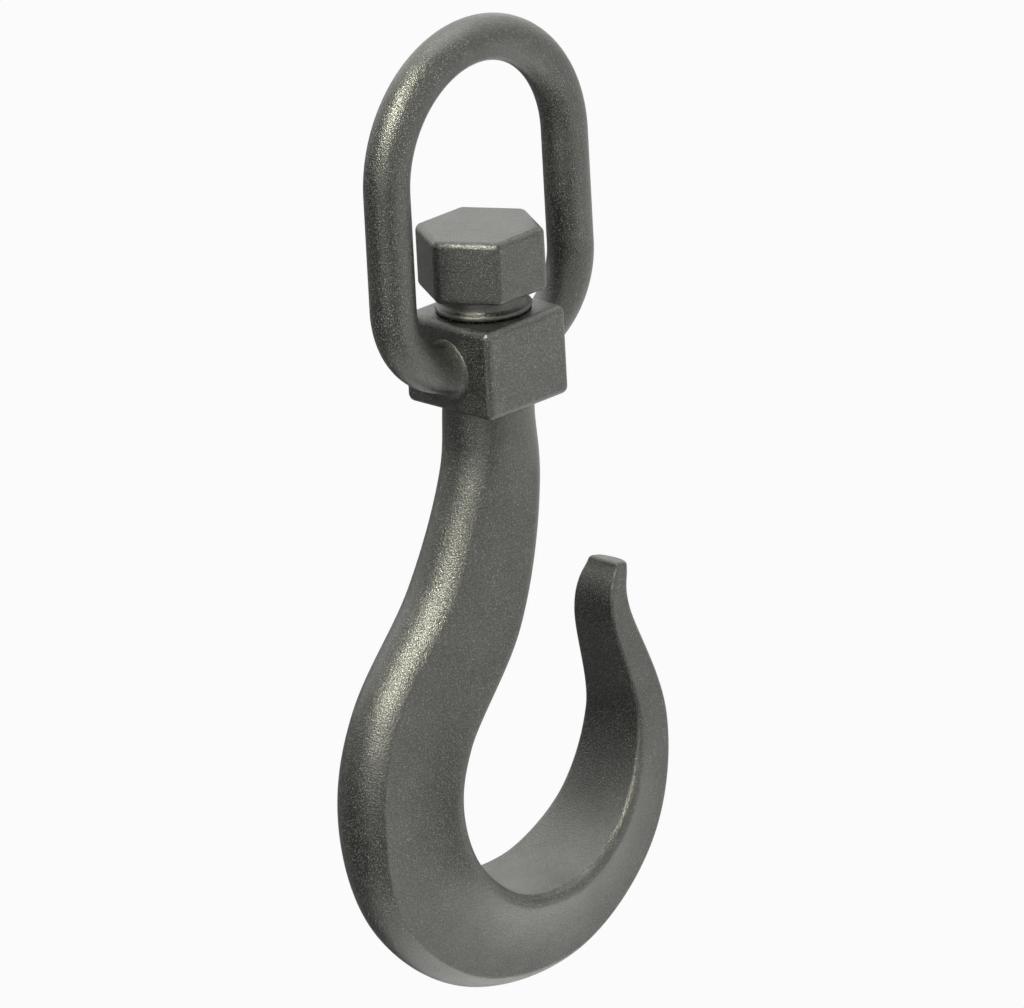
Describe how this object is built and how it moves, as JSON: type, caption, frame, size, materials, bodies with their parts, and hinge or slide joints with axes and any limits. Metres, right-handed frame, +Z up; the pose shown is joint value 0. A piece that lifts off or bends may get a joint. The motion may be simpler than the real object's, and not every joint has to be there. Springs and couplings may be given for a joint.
{
  "type": "swivel meat hook",
  "caption": "Swivel hook for a meat rail: an oval bail fixed to a square block, with a wide forged hook turning below it on a thrust bearing.",
  "frame": {"origin": "inside crown of the bail, the point that the hook hangs from, on the swivel axis", "axes": "+Z up along the swivel axis; +X from the swivel axis towards the hook's tip; +Y square to the plane of the bail and the hook"},
  "size_m": [0.1153, 0.0342, 0.2689],
  "materials": {
    "cast_steel": "dark oiled steel with a fine cast grain",
    "bearing_steel": "ground and polished",
    "bronze": "turned",
    "brass": "stamped",
    "rubber": "matt moulded"
  },
  "bodies": {
    "bail_block": {"bail": "cast_steel", "swivel_block": "cast_steel", "weld_bead_left": "cast_steel", "weld_bead_right": "cast_steel", "block_bush": "bronze", "lower_race": "bearing_steel", "dust_seal": "rubber"},
    "ball_cage": {"ball_cage": "brass", "thrust_ball_01": "bearing_steel", "thrust_ball_02": "bearing_steel", "thrust_ball_03": "bearing_steel", "thrust_ball_04": "bearing_steel", "thrust_ball_05": "bearing_steel", "thrust_ball_06": "bearing_steel", "thrust_ball_07": "bearing_steel", "thrust_ball_08": "bearing_steel", "thrust_ball_09": "bearing_steel", "thrust_ball_10": "bearing_steel", "thrust_ball_11": "bearing_steel", "thrust_ball_12": "bearing_steel"},
    "hook": {"hook": "cast_steel", "hex_nut": "cast_steel", "bearing_collar": "cast_steel", "upper_race": "bearing_steel", "lock_pin": "bearing_steel"}
  },
  "joints": [
    {"name": "hook_swivel", "type": "hinge", "parent": "bail_block", "child": "hook", "pos_m": [0, 0, -0.0805], "axis": [0, 0, 1], "continuous": true},
    {"name": "cage_roll", "type": "hinge", "parent": "bail_block", "child": "ball_cage", "pos_m": [0, 0, -0.0805], "axis": [0, 0, 1], "continuous": true}
  ],
  "couplings": [
    {"joint": "cage_roll", "follows": "hook_swivel", "ratio": 0.5}
  ]
}
